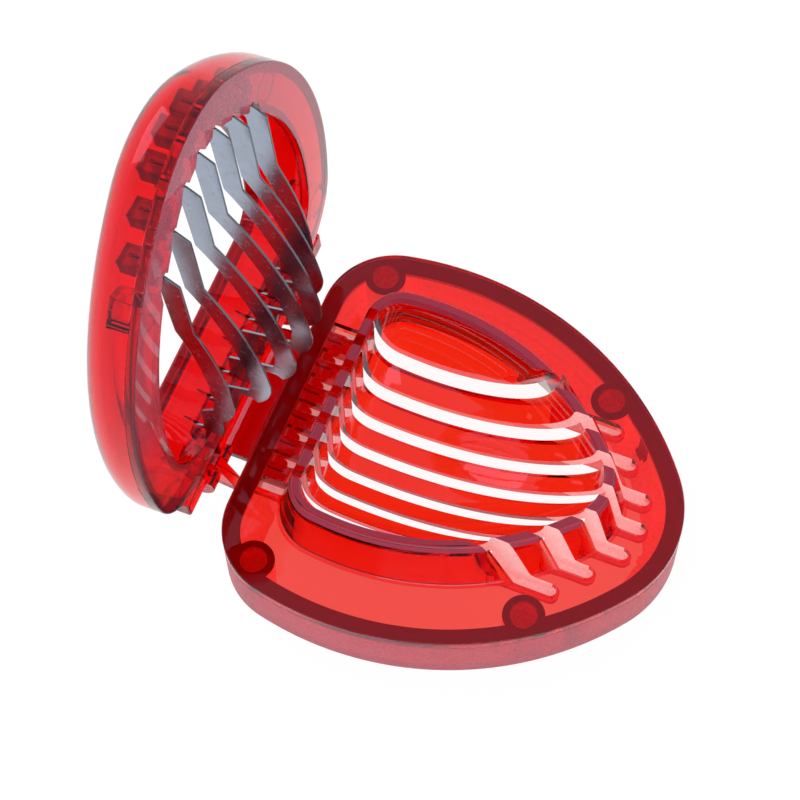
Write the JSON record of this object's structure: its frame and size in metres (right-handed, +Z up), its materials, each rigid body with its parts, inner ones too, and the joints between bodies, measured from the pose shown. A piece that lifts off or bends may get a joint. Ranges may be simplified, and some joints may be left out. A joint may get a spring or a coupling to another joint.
{
  "type": "strawberry and egg slicer",
  "caption": "Hinged drop-shaped slicer in clear red plastic: a slotted cradle base and a domed, open-centred lid carrying a row of curved steel blades.",
  "frame": {"origin": "centre of the bounding box at its lowest face, with the lid open as stored", "axes": "+Z up, X along the hinge, +Y from the hinge to the tip of the base"},
  "size_m": [0.09, 0.1164, 0.1214],
  "materials": {
    "clear_plastic": "gloss, translucent",
    "casing_plastic": "fine-grained, translucent",
    "clamp_plastic": "gloss, translucent",
    "steel": "satin"
  },
  "bodies": {
    "base": {"base_casing": "casing_plastic", "base_tray": "clear_plastic"},
    "lid": {"lid_plate": "clear_plastic", "lid_shell": "clear_plastic", "lid_clamp": "clamp_plastic", "blade_1": "steel", "blade_2": "steel", "blade_3": "steel", "blade_4": "steel", "blade_5": "steel", "blade_6": "steel", "blade_7": "steel", "hinge_pin_left": "steel", "hinge_pin_right": "steel"}
  },
  "joints": [
    {"name": "lid_hinge", "type": "hinge", "parent": "base", "child": "lid", "pos_m": [0, -0.0425, 0.0207], "axis": [1, 0, 0], "range_deg": [-93.6, 0]}
  ]
}
